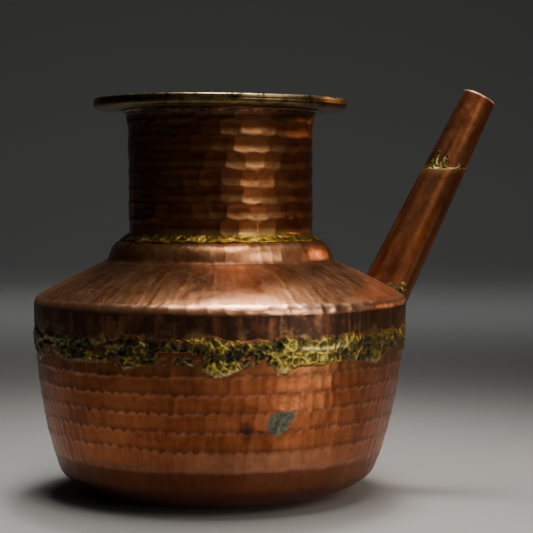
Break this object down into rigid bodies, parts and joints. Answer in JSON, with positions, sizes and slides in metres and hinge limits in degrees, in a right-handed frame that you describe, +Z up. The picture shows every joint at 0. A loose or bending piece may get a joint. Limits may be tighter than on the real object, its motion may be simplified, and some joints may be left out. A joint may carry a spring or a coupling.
{
  "type": "lota water pot",
  "caption": "Hammered copper lota water pot with a round base, brass brazed seams, a thick flat rim and a straight tapered pouring spout.",
  "frame": {"origin": "centre of the flat that the pot rests on", "axes": "+Z up the pot's axis, +X towards the spout"},
  "size_m": [0.2436, 0.1906, 0.2085],
  "materials": {
    "body_copper": "hammered, red-brown patina",
    "neck_copper": "hammered in rows, dark patina",
    "spout_copper": "smooth, orange-brown patina",
    "rim_brass": "turned, dull olive gold",
    "seam_brass": "rough run braze, yellow-green"
  },
  "bodies": {
    "root": {"lower_bowl": "body_copper", "shoulder_shell": "body_copper", "waist_braze": "seam_brass", "neck_tube": "neck_copper", "neck_seam_braze": "seam_brass", "neck_foot_braze": "seam_brass", "rim_ring": "rim_brass", "rim_braze": "seam_brass", "spout_lower_tube": "spout_copper", "spout_upper_tube": "spout_copper", "spout_joint_braze": "seam_brass", "spout_root_braze": "seam_brass", "spout_lower_seam_braze": "seam_brass", "spout_upper_seam_braze": "seam_brass"}
  },
  "joints": []
}
